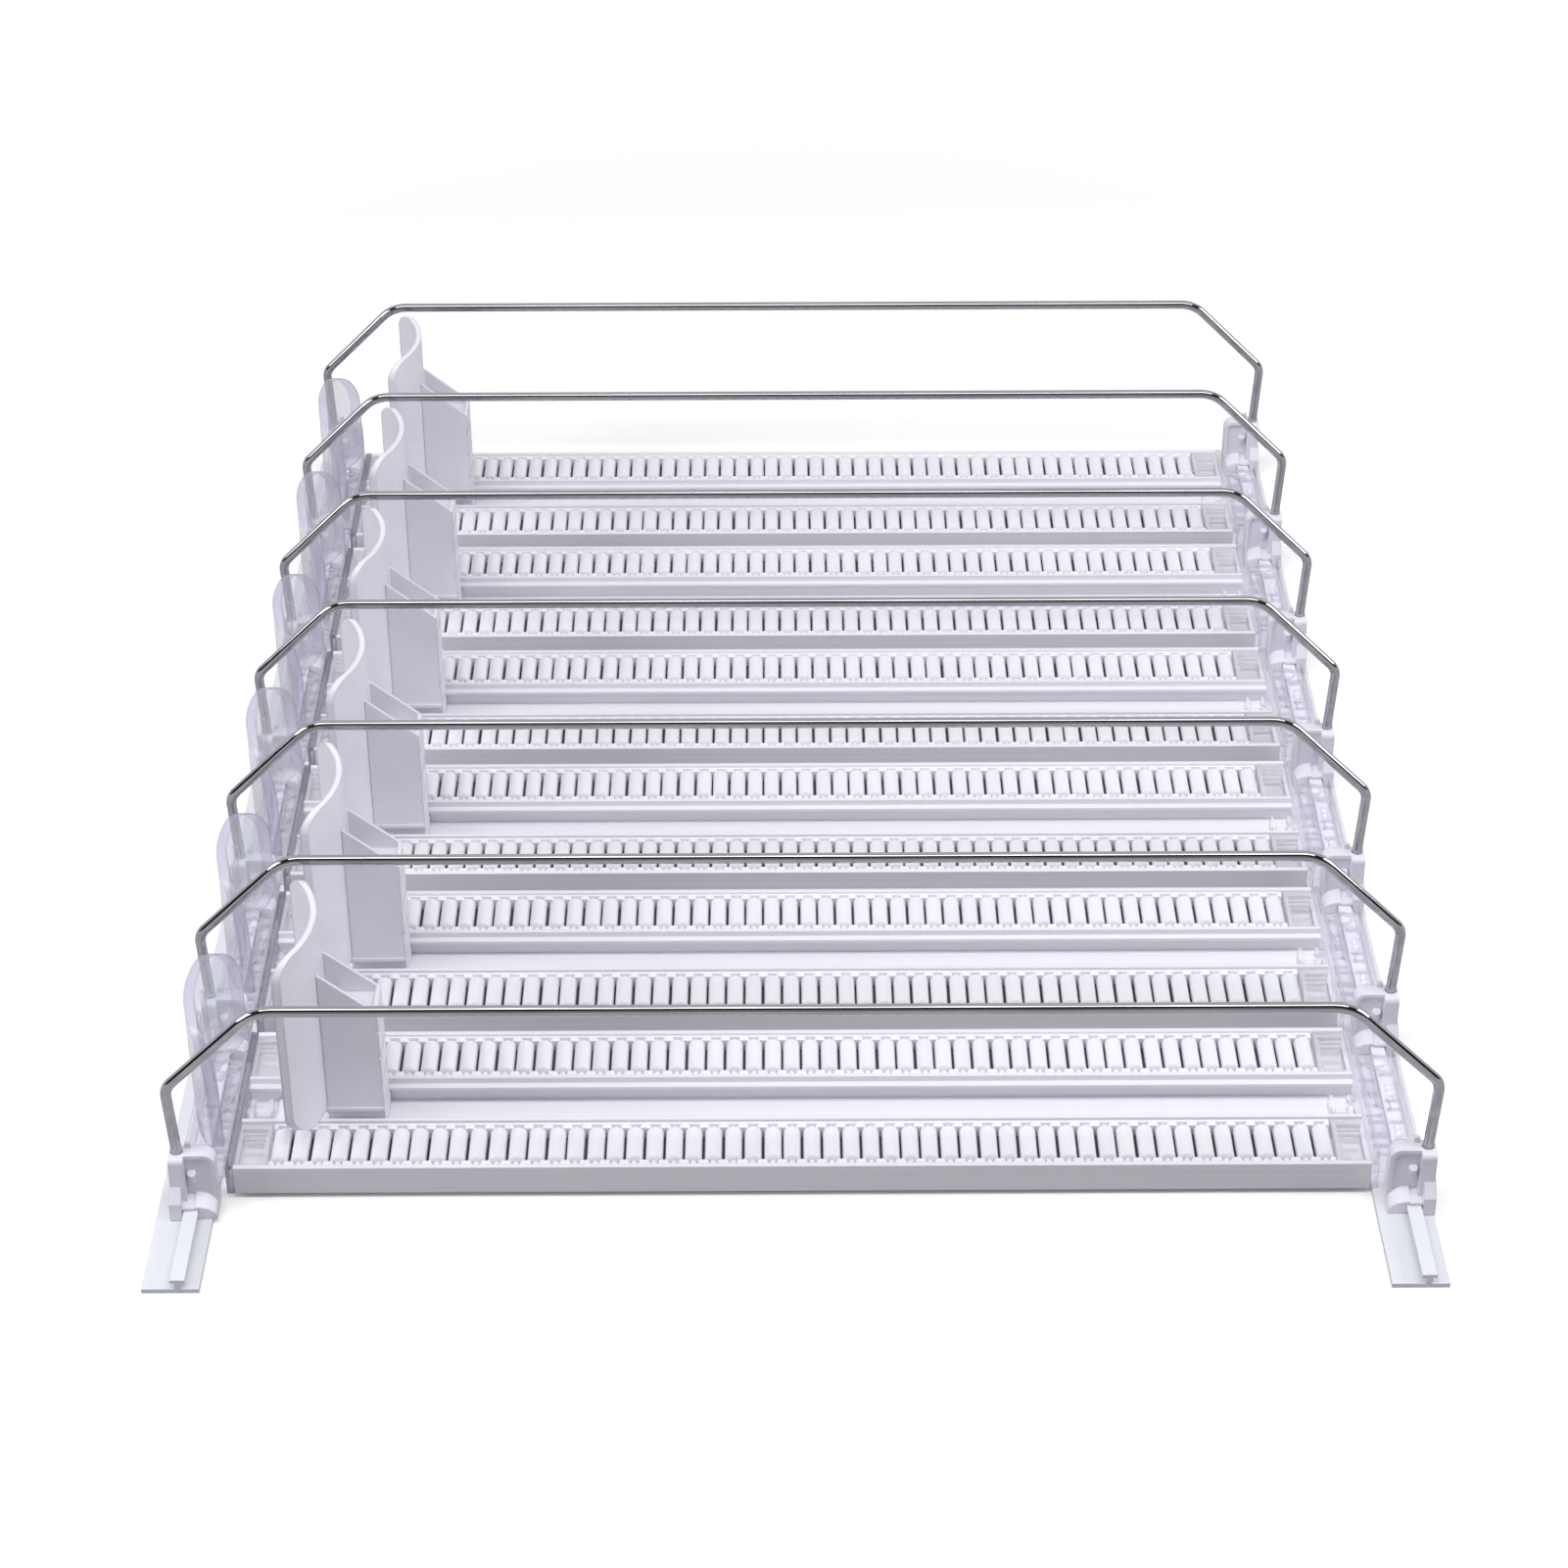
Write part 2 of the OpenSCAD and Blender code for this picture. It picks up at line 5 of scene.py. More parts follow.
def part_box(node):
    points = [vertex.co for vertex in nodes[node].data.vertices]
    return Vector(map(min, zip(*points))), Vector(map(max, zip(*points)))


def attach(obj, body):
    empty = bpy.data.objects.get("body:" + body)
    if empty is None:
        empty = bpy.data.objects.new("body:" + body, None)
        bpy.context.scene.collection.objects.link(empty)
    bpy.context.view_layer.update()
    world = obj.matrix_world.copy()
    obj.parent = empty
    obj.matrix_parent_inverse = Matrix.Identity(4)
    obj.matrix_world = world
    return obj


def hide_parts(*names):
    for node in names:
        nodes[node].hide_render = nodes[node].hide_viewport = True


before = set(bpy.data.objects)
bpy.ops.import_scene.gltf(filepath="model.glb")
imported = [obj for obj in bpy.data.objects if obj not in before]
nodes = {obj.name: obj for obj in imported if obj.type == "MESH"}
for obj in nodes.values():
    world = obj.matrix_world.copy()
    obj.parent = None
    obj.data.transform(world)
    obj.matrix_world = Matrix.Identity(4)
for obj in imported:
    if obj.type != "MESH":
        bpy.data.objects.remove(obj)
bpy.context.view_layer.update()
lanes = range(1, 1 + sum(name.startswith("tray_") for name in nodes))
trayFront, trayRear = (corner.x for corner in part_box("tray_1"))
scene = bpy.context.scene
mm = 0.001


# Turns an sRGB hex colour into the linear values that a shader takes.
def linear(hexColour):
    shares = [int(hexColour[i:i + 2], 16) / 255 for i in (1, 3, 5)]
    return *(v / 12.92 if v <= 0.04045 else ((v + 0.055) / 1.055) ** 2.4 for v in shares), 1.0


# Adds a node, sets its properties and its ramp's (position, colour) stops, and fills or links
# its inputs, by name or, as i0, i1 and so on, by number.
def addNode(tree, kind, settings=None, stops=(), **inputs):
    made = tree.nodes.new(kind)
    for key, value in (settings or {}).items():
        setattr(made, key, value)
    if stops:
        elements = made.color_ramp.elements
        for _ in stops[2:]:
            elements.new(0.5)
        for element, (position, colour) in zip(elements, stops):
            element.position, element.color = position, colour
    for key, value in inputs.items():
        numbered = key[0] == "i" and key[1:].isdigit()
        socket = made.inputs[int(key[1:]) if numbered else key.replace("_", " ")]
        if isinstance(value, bpy.types.NodeSocket):
            tree.links.new(value, socket)
        else:
            socket.default_value = value
    return made


def newMaterial(name):
    made = bpy.data.materials.new(name)
    made.use_nodes = True
    made.node_tree.nodes.clear()
    return made, made.node_tree


def newObject(name, data):
    made = bpy.data.objects.new(name, data)
    scene.collection.objects.link(made)
    return made


# camera, fitted to the straight edges of the trays, wires and rails

cameraSpec = {
    "right": (0.9999894, -0.0037329, -0.0026894),
    "down": (-0.0043055, -0.5532238, -0.8330215),
    "forward": (0.0016217, 0.8330243, -0.553234),
    "at": (-0.00420, -0.95594, 0.64406),
    "focalPx": 3630,
    "imagePx": 1601,
    "sensor": 36,
    "clipEnd": 20,
}
cameraData = bpy.data.cameras.new("camera")
cameraData.sensor_fit = "HORIZONTAL"
cameraData.sensor_width = cameraSpec["sensor"]
cameraData.lens = cameraSpec["focalPx"] / cameraSpec["imagePx"] * cameraSpec["sensor"]
cameraData.clip_end = cameraSpec["clipEnd"]
camera = newObject("camera", cameraData)
right, down, forward = (Vector(cameraSpec[k]).normalized() for k in ("right", "down", "forward"))
aimed = Matrix((right, -down, -forward)).transposed().to_4x4()
camera.matrix_world = Matrix.Translation(cameraSpec["at"]) @ aimed
bpy.context.scene.camera = camera
print("camera set")

# studio

studioSpec = {
    "white": "#fdfdff",
    "tent": (0.1, 0.58),  # strength at the sides and overhead
    # strength for gloss, from behind the camera at 0 to behind the shelf at 1
    "gloss": ((0.0, 0.26), (0.06, 0.26), (0.12, 0.02), (0.48, 0.02), (0.6, 0.85)),
    "backdrop": 1.0,
    "lamps": {
        "key": {"at": (0.1, -0.48, 1.62), "aim": (0.1, -0.1, 0), "size": (2.2, 0.4), "watts": 16.8},
        "left": {"at": (-1.45, -0.45, 0.8), "aim": (0, 0, 0.02), "size": (0.9, 0.6), "watts": 10},
        "right": {"at": (1.5, -0.2, 0.7), "aim": (0, 0, 0.02), "size": (0.9, 0.6), "watts": 8},
    },
}
scene.view_settings.view_transform = "Standard"
world = bpy.data.worlds.new("studio")
world.use_nodes = True
tree = world.node_tree
tree.nodes.clear()
rays = addNode(tree, "ShaderNodeLightPath").outputs
sky = addNode(tree, "ShaderNodeTexCoord")
towards = addNode(tree, "ShaderNodeSeparateXYZ", Vector=sky.outputs["Generated"]).outputs
# gloss sees a bright wall behind the shelf, darkness overhead and a dim room behind the camera
across = addNode(tree, "ShaderNodeMapRange", Value=towards["Y"], i1=-1.0, i2=1.0)
walls = [(position, (level, level, level, 1.0)) for position, level in studioSpec["gloss"]]
room = addNode(tree, "ShaderNodeValToRGB", stops=walls, Fac=across.outputs[0])
# other rays see a tent that is brightest overhead
low, high = studioSpec["tent"]
tent = addNode(tree, "ShaderNodeMapRange", Value=towards["Z"], i3=low, i4=high)
strength = addNode(tree, "ShaderNodeMix", {"data_type": "FLOAT"}, i0=rays["Is Glossy Ray"],
                   i2=tent.outputs[0], i3=room.outputs[0])
# the camera itself sees plain white beyond the floor
shown = addNode(tree, "ShaderNodeMix", {"data_type": "FLOAT"}, i0=rays["Is Camera Ray"],
                i2=strength.outputs[0], i3=studioSpec["backdrop"])
background = addNode(tree, "ShaderNodeBackground", Color=linear(studioSpec["white"]),
                     Strength=shown.outputs[0])
addNode(tree, "ShaderNodeOutputWorld", Surface=background.outputs[0])
scene.world = world
for name, spec in studioSpec["lamps"].items():
    lampData = bpy.data.lights.new(name, "AREA")
    lampData.shape = "RECTANGLE"
    lampData.size, lampData.size_y = spec["size"]
    lampData.energy = spec["watts"]
    lamp = newObject(name, lampData)
    lamp.location = spec["at"]
    beam = Vector(spec["aim"]) - Vector(spec["at"])
    lamp.rotation_euler = beam.to_track_quat("-Z", "Y").to_euler()

floorSpec = {
    "half": 3.0,
    "paper": "#fbfbfb",
    "duller": "#8e8e93",
    "inGloss": 0.4,  # how much of the white paper gloss sees
    "fade": (0.5, 1.3),  # distances from the object's middle
    "glow": (0.08, 0.9),  # glow at these distances
}
half = floorSpec["half"]
floorMesh = bpy.data.meshes.new("floor")
floorMesh.from_pydata([(-half, -half, 0), (half, -half, 0), (half, half, 0), (-half, half, 0)],
                      [], [(0, 1, 2, 3)])
floor = newObject("floor", floorMesh)
# Studio paper, smooth and matt: nothing shows on it but the object's shadow.
floorMaterial, tree = newMaterial("seamless white paper")
paper = addNode(tree, "ShaderNodeBsdfDiffuse", Color=linear(floorSpec["paper"]))
duller = addNode(tree, "ShaderNodeBsdfDiffuse", Color=linear(floorSpec["duller"]))
# the paper is lifted to white far from the object, where the lamps fade, and not in its shadow
place = addNode(tree, "ShaderNodeTexCoord")
away = addNode(tree, "ShaderNodeVectorMath", {"operation": "LENGTH"}, i0=place.outputs["Object"])
glow = addNode(tree, "ShaderNodeMapRange", Value=away.outputs["Value"],
               i1=floorSpec["fade"][0], i2=floorSpec["fade"][1],
               i3=floorSpec["glow"][0], i4=floorSpec["glow"][1])
lift = addNode(tree, "ShaderNodeEmission", Color=(1, 1, 1, 1), Strength=glow.outputs[0])
lifted = addNode(tree, "ShaderNodeAddShader", i0=paper.outputs[0], i1=lift.outputs[0])
# only the camera sees it in full, and the duller paper throws less light up at the object
rays = addNode(tree, "ShaderNodeLightPath").outputs
share = addNode(tree, "ShaderNodeMath", {"operation": "MULTIPLY_ADD"}, i0=rays["Is Glossy Ray"],
                i1=floorSpec["inGloss"], i2=rays["Is Camera Ray"])
seen = addNode(tree, "ShaderNodeMixShader", i0=share.outputs[0], i1=duller.outputs[0],
               i2=lifted.outputs[0])
addNode(tree, "ShaderNodeOutputMaterial", Surface=seen.outputs[0])
floorMesh.materials.append(floorMaterial)
print("studio set")

# materials; noise scales are in marks per metre

mouldedSpec = {
    "patches": {"Scale": 38.0, "Detail": 3.0, "Roughness": 0.55},  # 26 mm wide
    "patchEnds": (0.35, 0.65),
    # moulding grain is under 0.1 mm wide and is drawn as coarse as 1.1 mm, so that it shows
    "grain": {"Scale": 900.0, "Detail": 2.0},
    "height": 0.00006,
    "strength": 0.25,
    "spread": (-0.05, 0.07),  # of roughness over the grain
    "ior": 1.52,
    "bleed": 0.06,  # share of light that spreads below the surface
    "reach": (0.0012, 0.0012, 0.0014),
    "rays": 3,
}


# Moulded or extruded plastic: faint cloudy tone, fine grain in its gloss, and rounded edges.
def mouldedPlastic(name, colour, shade, roughness, edge):
    made, tree = newMaterial(name)
    place = addNode(tree, "ShaderNodeTexCoord").outputs["Object"]
    cloud = addNode(tree, "ShaderNodeTexNoise", Vector=place, **mouldedSpec["patches"])
    dark, bright = mouldedSpec["patchEnds"]
    tone = addNode(tree, "ShaderNodeValToRGB", Fac=cloud.outputs["Fac"],
                   stops=((dark, linear(shade)), (bright, linear(colour))))
    fine = addNode(tree, "ShaderNodeTexNoise", Vector=place, **mouldedSpec["grain"])
    least, most = mouldedSpec["spread"]
    rough = addNode(tree, "ShaderNodeMapRange", Value=fine.outputs["Fac"],
                    i3=roughness + least, i4=roughness + most)
    soft = addNode(tree, "ShaderNodeBevel", {"samples": mouldedSpec["rays"]}, Radius=edge)
    bump = addNode(tree, "ShaderNodeBump", Height=fine.outputs["Fac"], Normal=soft.outputs[0],
                   Distance=mouldedSpec["height"], Strength=mouldedSpec["strength"])
    shader = addNode(tree, "ShaderNodeBsdfPrincipled", Base_Color=tone.outputs[0],
                     Roughness=rough.outputs[0], Normal=bump.outputs[0], IOR=mouldedSpec["ior"],
                     Subsurface_Weight=mouldedSpec["bleed"],
                     Subsurface_Radius=mouldedSpec["reach"])
    addNode(tree, "ShaderNodeOutputMaterial", Surface=shader.outputs[0])
    return made


# brackets: moulded ABS, white with a lavender cast in the shade
bracketMaterial = mouldedPlastic("white moulded ABS", "#e8e7f1", "#e3e1ec", 0.34, 0.0004)
# rails: extruded PVC, cooler and glossier, with crisp edges
railMaterial = mouldedPlastic("white extruded PVC", "#e3e5eb", "#dfe1e7", 0.3, 0.0002)
# pushers: textured ABS, a little lighter than the brackets, more matt and rounder at its edges
pusherMaterial = mouldedPlastic("white textured ABS", "#eceaf3", "#e6e3ee", 0.4, 0.0008)
# cradles: moulded acetal, a shade lighter than the rollers, so that it fades into the tray's lips
cradleMaterial = mouldedPlastic("white moulded acetal", "#f3f2fa", "#eeedf6", 0.3, 0.0002)
# bed below the rollers: the same acetal, painted deep grey as the shade down in the gaps, so that
# the gaps read as thin dark lines
bedShadeMaterial = mouldedPlastic("grey shaded acetal", "#6f6b76", "#625e69", 0.6, 0.0004)

rollerFinish = {
    "batches": ((0.0, "#eeedf3"), (0.45, "#edecf2"), (0.8, "#eaebf1")),
    # marks along each roller, drawn 1.1 mm wide so that they show
    "marks": (900.0, 60.0, 900.0),
    "roughness": (0.26, 0.4),
    "height": 0.00003,
    "strength": 0.2,
    "ior": 1.48,
    "bleed": 0.1,
    "reach": (0.0015, 0.0015, 0.0017),
}


# Turned acetal: smooth, a little waxy, and from three batches whose white differs slightly.
def rollerAcetal():
    made, tree = newMaterial("white turned acetal")
    island = addNode(tree, "ShaderNodeNewGeometry")
    batch = addNode(tree, "ShaderNodeValToRGB", Fac=island.outputs["Random Per Island"],
                    stops=[(start, linear(colour)) for start, colour in rollerFinish["batches"]])
    batch.color_ramp.interpolation = "CONSTANT"
    place = addNode(tree, "ShaderNodeTexCoord")
    turned = addNode(tree, "ShaderNodeMapping", Vector=place.outputs["Object"],
                     Scale=rollerFinish["marks"])
    grain = addNode(tree, "ShaderNodeTexNoise", Vector=turned.outputs[0], Scale=1.0, Detail=2.0)
    low, high = rollerFinish["roughness"]
    rough = addNode(tree, "ShaderNodeMapRange", Value=grain.outputs["Fac"], i3=low, i4=high)
    bump = addNode(tree, "ShaderNodeBump", Height=grain.outputs["Fac"],
                   Distance=rollerFinish["height"], Strength=rollerFinish["strength"])
    shader = addNode(tree, "ShaderNodeBsdfPrincipled", Base_Color=batch.outputs[0],
                     Roughness=rough.outputs[0], Normal=bump.outputs[0], IOR=rollerFinish["ior"],
                     Subsurface_Weight=rollerFinish["bleed"],
                     Subsurface_Radius=rollerFinish["reach"])
    addNode(tree, "ShaderNodeOutputMaterial", Surface=shader.outputs[0])
    return made


rollerMaterial = rollerAcetal()

trayFinish = {
    # lines along the tray, drawn 1.1 mm wide so that they show
    "lines": (3.0, 900.0, 900.0),
    "tones": ((0.3, "#e6e6ed"), (0.7, "#eeeef4")),
    "roughness": (0.26, 0.4),
    "edge": 0.00025,
    "rays": 3,
    "height": 0.00003,
    "strength": 0.3,
    "metallic": 0.04,
}


# Coated aluminium: smooth and grey-white, with faint lines along it from its extrusion.
def trayCoat():
    made, tree = newMaterial("grey-white coated aluminium")
    place = addNode(tree, "ShaderNodeTexCoord")
    along = addNode(tree, "ShaderNodeMapping", Vector=place.outputs["Object"],
                    Scale=trayFinish["lines"])
    lines = addNode(tree, "ShaderNodeTexNoise", Vector=along.outputs[0], Scale=1.0, Detail=3.0)
    tone = addNode(tree, "ShaderNodeValToRGB", Fac=lines.outputs["Fac"],
                   stops=[(at, linear(colour)) for at, colour in trayFinish["tones"]])
    low, high = trayFinish["roughness"]
    rough = addNode(tree, "ShaderNodeMapRange", Value=lines.outputs["Fac"], i3=low, i4=high)
    soft = addNode(tree, "ShaderNodeBevel", {"samples": trayFinish["rays"]},
                   Radius=trayFinish["edge"])
    bump = addNode(tree, "ShaderNodeBump", Height=lines.outputs["Fac"], Normal=soft.outputs[0],
                   Distance=trayFinish["height"], Strength=trayFinish["strength"])
    shader = addNode(tree, "ShaderNodeBsdfPrincipled", Base_Color=tone.outputs[0],
                     Roughness=rough.outputs[0], Normal=bump.outputs[0],
                     Metallic=trayFinish["metallic"])
    addNode(tree, "ShaderNodeOutputMaterial", Surface=shader.outputs[0])
    return made


wireFinish = {
    # lines along the top of the wire, 0.4 mm wide
    "lines": (20.0, 2600.0, 300.0),
    "tones": ((0.3, "#a1a1a5"), (0.7, "#b7b7bb")),
    "roughness": (0.05, 0.1),
}


# Drawn steel: bright, with crisp reflections and fine lines that follow the wire.
def drawnSteel():
    made, tree = newMaterial("bright drawn steel wire")
    place = addNode(tree, "ShaderNodeTexCoord")
    along = addNode(tree, "ShaderNodeMapping", Vector=place.outputs["Object"],
                    Scale=wireFinish["lines"])
    lines = addNode(tree, "ShaderNodeTexNoise", Vector=along.outputs[0], Scale=1.0, Detail=2.0)
    tone = addNode(tree, "ShaderNodeValToRGB", Fac=lines.outputs["Fac"],
                   stops=[(at, linear(colour)) for at, colour in wireFinish["tones"]])
    low, high = wireFinish["roughness"]
    rough = addNode(tree, "ShaderNodeMapRange", Value=lines.outputs["Fac"], i3=low, i4=high)
    shader = addNode(tree, "ShaderNodeBsdfPrincipled", Base_Color=tone.outputs[0],
                     Roughness=rough.outputs[0], Metallic=1.0)
    addNode(tree, "ShaderNodeOutputMaterial", Surface=shader.outputs[0])
    return made


clearSpec = {
    "ripple": {"Scale": 130.0, "Detail": 2.0},  # waves 8 mm wide, as thin mouldings have
    "height": 0.0002,
    "strength": 0.3,
    "roughness": (0.05, 0.16),
    # width of the bright edges and of the lines beside them, each with how far the rounded
    # normal has turned from the face's own where they begin and where they are full
    "edge": (0.0004, 0.995, 0.8),
    "beside": (0.0007, 0.999, 0.93),
    "rays": 4,
    "blend": 0.3,  # how far the rim's colour comes in from the silhouette
    "ior": 1.4,
    "backlight": 0.5,  # share of the haze that is lit from behind
}


# Moulded polycarbonate: see-through with gloss, and milky lines along the edges that paint the
# highlight where an edge catches the light.
# haze is its milkiness on walls and on level faces, and the argument after it the milkiness along
# the edges, which paints their highlight.
def clearPlastic(name, through, rim, body, haze, highlightHaze, line="#a9a7b2"):
    made, tree = newMaterial(name)
    place = addNode(tree, "ShaderNodeTexCoord")
    ripple = addNode(tree, "ShaderNodeTexNoise", Vector=place.outputs["Object"],
                     **clearSpec["ripple"])
    low, high = clearSpec["roughness"]
    rough = addNode(tree, "ShaderNodeMapRange", Value=ripple.outputs["Fac"], i3=low, i4=high)
    face = addNode(tree, "ShaderNodeNewGeometry").outputs
    normals, masks = [], []
    for width, begin, full in (clearSpec["edge"], clearSpec["beside"]):
        soft = addNode(tree, "ShaderNodeBevel", {"samples": clearSpec["rays"]}, Radius=width)
        along = addNode(tree, "ShaderNodeVectorMath", {"operation": "DOT_PRODUCT"},
                        i0=soft.outputs[0], i1=face["Normal"])
        mask = addNode(tree, "ShaderNodeMapRange", Value=along.outputs["Value"],
                       i1=begin, i2=full, i3=0.0, i4=1.0)
        normals.append(soft.outputs[0])
        masks.append(mask.outputs[0])
    edge, band = masks
    bump = addNode(tree, "ShaderNodeBump", Height=ripple.outputs["Fac"], Normal=normals[0],
                   Distance=clearSpec["height"], Strength=clearSpec["strength"])
    # a thin darker line runs beside each bright edge, as light bends away there
    plain = addNode(tree, "ShaderNodeMath", {"operation": "SUBTRACT"}, i0=1.0, i1=edge)
    dark = addNode(tree, "ShaderNodeMath", {"operation": "MULTIPLY"}, i0=band, i1=plain.outputs[0])
    facing = addNode(tree, "ShaderNodeLayerWeight", Blend=clearSpec["blend"],
                     Normal=bump.outputs[0])
    tint = addNode(tree, "ShaderNodeMix", {"data_type": "RGBA"}, i0=facing.outputs["Facing"],
                   i6=linear(through), i7=linear(rim))
    lined = addNode(tree, "ShaderNodeMix", {"data_type": "RGBA"}, i0=dark.outputs[0],
                    i6=tint.outputs[2], i7=linear(line))
    clear = addNode(tree, "ShaderNodeBsdfTransparent", Color=lined.outputs[2])
    front = addNode(tree, "ShaderNodeBsdfDiffuse", Color=linear(body), Normal=bump.outputs[0])
    back = addNode(tree, "ShaderNodeBsdfTranslucent", Color=linear(body), Normal=bump.outputs[0])
    veil = addNode(tree, "ShaderNodeMixShader", i0=clearSpec["backlight"], i1=front.outputs[0],
                   i2=back.outputs[0])
    # walls stay clearer than level faces, as the eye looks through less plastic there
    upright = addNode(tree, "ShaderNodeSeparateXYZ", Vector=face["Normal"])
    level = addNode(tree, "ShaderNodeMath", {"operation": "ABSOLUTE"}, i0=upright.outputs["Z"])
    milk = addNode(tree, "ShaderNodeMapRange", Value=level.outputs[0], i3=haze[0], i4=haze[1])
    # painted highlight: along the edges the plastic turns milky, so that the lamps light it as
    # bright lines
    share = addNode(tree, "ShaderNodeMapRange", Value=edge, i3=milk.outputs[0], i4=highlightHaze)
    inside = addNode(tree, "ShaderNodeMixShader", i0=share.outputs[0], i1=clear.outputs[0],
                     i2=veil.outputs[0])
    shine = addNode(tree, "ShaderNodeBsdfGlossy", Roughness=rough.outputs[0],
                    Normal=bump.outputs[0])
    skin = addNode(tree, "ShaderNodeFresnel", IOR=clearSpec["ior"], Normal=bump.outputs[0])
    # only the side where light enters is glossy: it isn't bent on its way in, so glass's rule
    # for the way out would turn back what should pass
    outside = addNode(tree, "ShaderNodeMath", {"operation": "SUBTRACT"}, i0=1.0,
                      i1=face["Backfacing"])
    gloss = addNode(tree, "ShaderNodeMath", {"operation": "MULTIPLY"}, i0=skin.outputs[0],
                    i1=outside.outputs[0])
    mixed = addNode(tree, "ShaderNodeMixShader", i0=gloss.outputs[0], i1=inside.outputs[0],
                    i2=shine.outputs[0])
    addNode(tree, "ShaderNodeOutputMaterial", Surface=mixed.outputs[0])
    return made


# The CAD nodes that are called by a prefix and a number.
def numbered(prefix):
    return sorted(n for n in nodes if n.startswith(prefix) and n[len(prefix):].isdigit())


def dress(names, material):
    for name in names:
        for slotOfNode in nodes[name].material_slots:
            slotOfNode.material = material


dress(["front_rail", "rear_rail"], railMaterial)
dress(numbered("front_bracket_") + numbered("rear_bracket_"), bracketMaterial)
dress(numbered("tray_"), trayCoat())
dress(numbered("divider_wire_") + numbered("pusher_spring_"), drawnSteel())
dress(numbered("pusher_"), pusherMaterial)
dress(numbered("roller_strips_"), cradleMaterial)
print("materials on the carried-over nodes")

# what the trees for caps and rollers share


# Starts a Geometry Nodes tree with these named inputs.
def newTree(name, sockets):
    made = bpy.data.node_groups.new(name, "GeometryNodeTree")
    for label, kind in {"Geometry": "Geometry", **sockets}.items():
        made.interface.new_socket(label, in_out="INPUT", socket_type="NodeSocket" + kind)
    made.interface.new_socket("Geometry", in_out="OUTPUT", socket_type="NodeSocketGeometry")
    return made, addNode(made, "NodeGroupInput").outputs


# Ends a tree: its copies become real and get their material.
def endTree(tree, copies, material):
    real = addNode(tree, "GeometryNodeRealizeInstances", Geometry=copies)
    dressed = addNode(tree, "GeometryNodeSetMaterial", Geometry=real.outputs[0], Material=material)
    addNode(tree, "NodeGroupOutput", Geometry=dressed.outputs[0])
    return tree


# Runs a tree on a mesh with these values and returns the result as a plain mesh.
def grow(tree, start, values):
    host = newObject(start.name, start)
    modifier = host.modifiers.new(tree.name, "NODES")
    modifier.node_group = tree
    for item in tree.interface.items_tree:
        if item.in_out == "INPUT" and item.name in values:
            modifier[item.identifier] = values[item.name]
    view = bpy.context.evaluated_depsgraph_get()
    mesh = bpy.data.meshes.new_from_object(host.evaluated_get(view))
    bpy.data.objects.remove(host)
    return mesh


# Joins meshes into one with these materials.
def joined(name, meshes, materials):
    bm = bmesh.new()
    for mesh in meshes:
        bm.from_mesh(mesh)
    made = bpy.data.meshes.new(name)
    bm.to_mesh(made)
    bm.free()
    for material in materials:
        made.materials.append(material)
    return made


# end caps, in mm

capSpec = {
    "bevel": 0.22,
    "steps": 2,
    "sharp": (30, 40),  # degrees, before and after the bevel
    "flange": 2.2,  # thickness of the plate at the tray's end
    # the stop stands above stopLow; stopRadius is its curve's and stopInside is just within it
    "stopLow": 12.5,
    "stopFront": -169.55,
    "stopRadius": 48.0,
    "stopInside": 44.9,
    "radial": 0.75,  # faces of the stop that point less to or from its middle are cut edges
    "margin": 0.1,
}
capMaterials = {
    # most of a cap: almost white over the white rail
    "clear": clearPlastic("clear moulded polycarbonate", "#fefeff", "#f9f9fb", "#e9e7ef",
                          (0.112, 0.364), 0.72, "#dad8e0"),
    # cut edges of the stops: the tint that clear plastic gathers along its width
    "edge": clearPlastic("lavender cut polycarbonate", "#ebe3f3", "#d8cde5", "#f0ebf7",
                         (0.3, 0.3), 0.7),
    # panes of the stops: a grey cast that flattens what stands behind them
    "pane": clearPlastic("grey-clear moulded polycarbonate", "#f9fafc", "#ecedf1", "#f9fafc",
                         (0.22, 0.22), 0.75),
    # flanges at the front: seen along their length, so they gather more tint; their darker grey is
    # painted shade and painted dark reflection
    "flange": clearPlastic("shaded moulded polycarbonate", "#d8d7de", "#bcbac6", "#c9c7d1",
                           (0.25, 0.25), 0.5, "#85828f"),
    # ribs inside the caps: faint white lines with a grey side
    "rib": clearPlastic("clear ribbed polycarbonate", "#f7f6fa", "#ebe9f0", "#f0eff5",
                        (0.12, 0.12), 0.5, "#b9b7c2"),
    # blocks and latches: clear walls and a bright haze on top, so that the tray lights them up
    "block": clearPlastic("milky moulded polycarbonate", "#ffffff", "#feffff", "#fdfdff",
                          (0.03, 0.48), 0.6, "#efeef3"),
}
capSlots = {part: index for index, part in enumerate(capMaterials)}
# ribs inside a cap, in its deck, cover and blocks: x is measured outwards from the tray's end and
# y from the cap's middle; "across" holds the y of ribs that run from end to end of "x", and
# "along" the x and both ends in y of the others
ribSpec = {
    "width": 0.5,
    "height": 0.9,
    "parts": (
        {"x": (2.9, 7.3), "low": 4.3,
         "across": (-16.5, -12.8, -11.4, -6.0, -3.2, 1.4, 5.8, 7.4, 12.9, 20.6),
         "along": ((3.9, 5.8, 20.6), (3.4, -12.8, -3.2), (6.4, 1.4, 16.8))},
        {"x": (8.6, 12.4), "low": 5.9,
         "across": (-20.9, -16.2, -8.0, -2.4, 1.5, 13.4),
         "along": ((8.6, -20.9, -16.2), (11.9, -20.9, -16.2), (9.4, -2.4, 1.5),
                   (12.6, -14.0, 12.0))},
        {"x": (-7.4, -1.4), "low": 3.7,
         "across": (-24.4, -17.9, 15.6, 22.1),
         "along": ()},
    ),
}


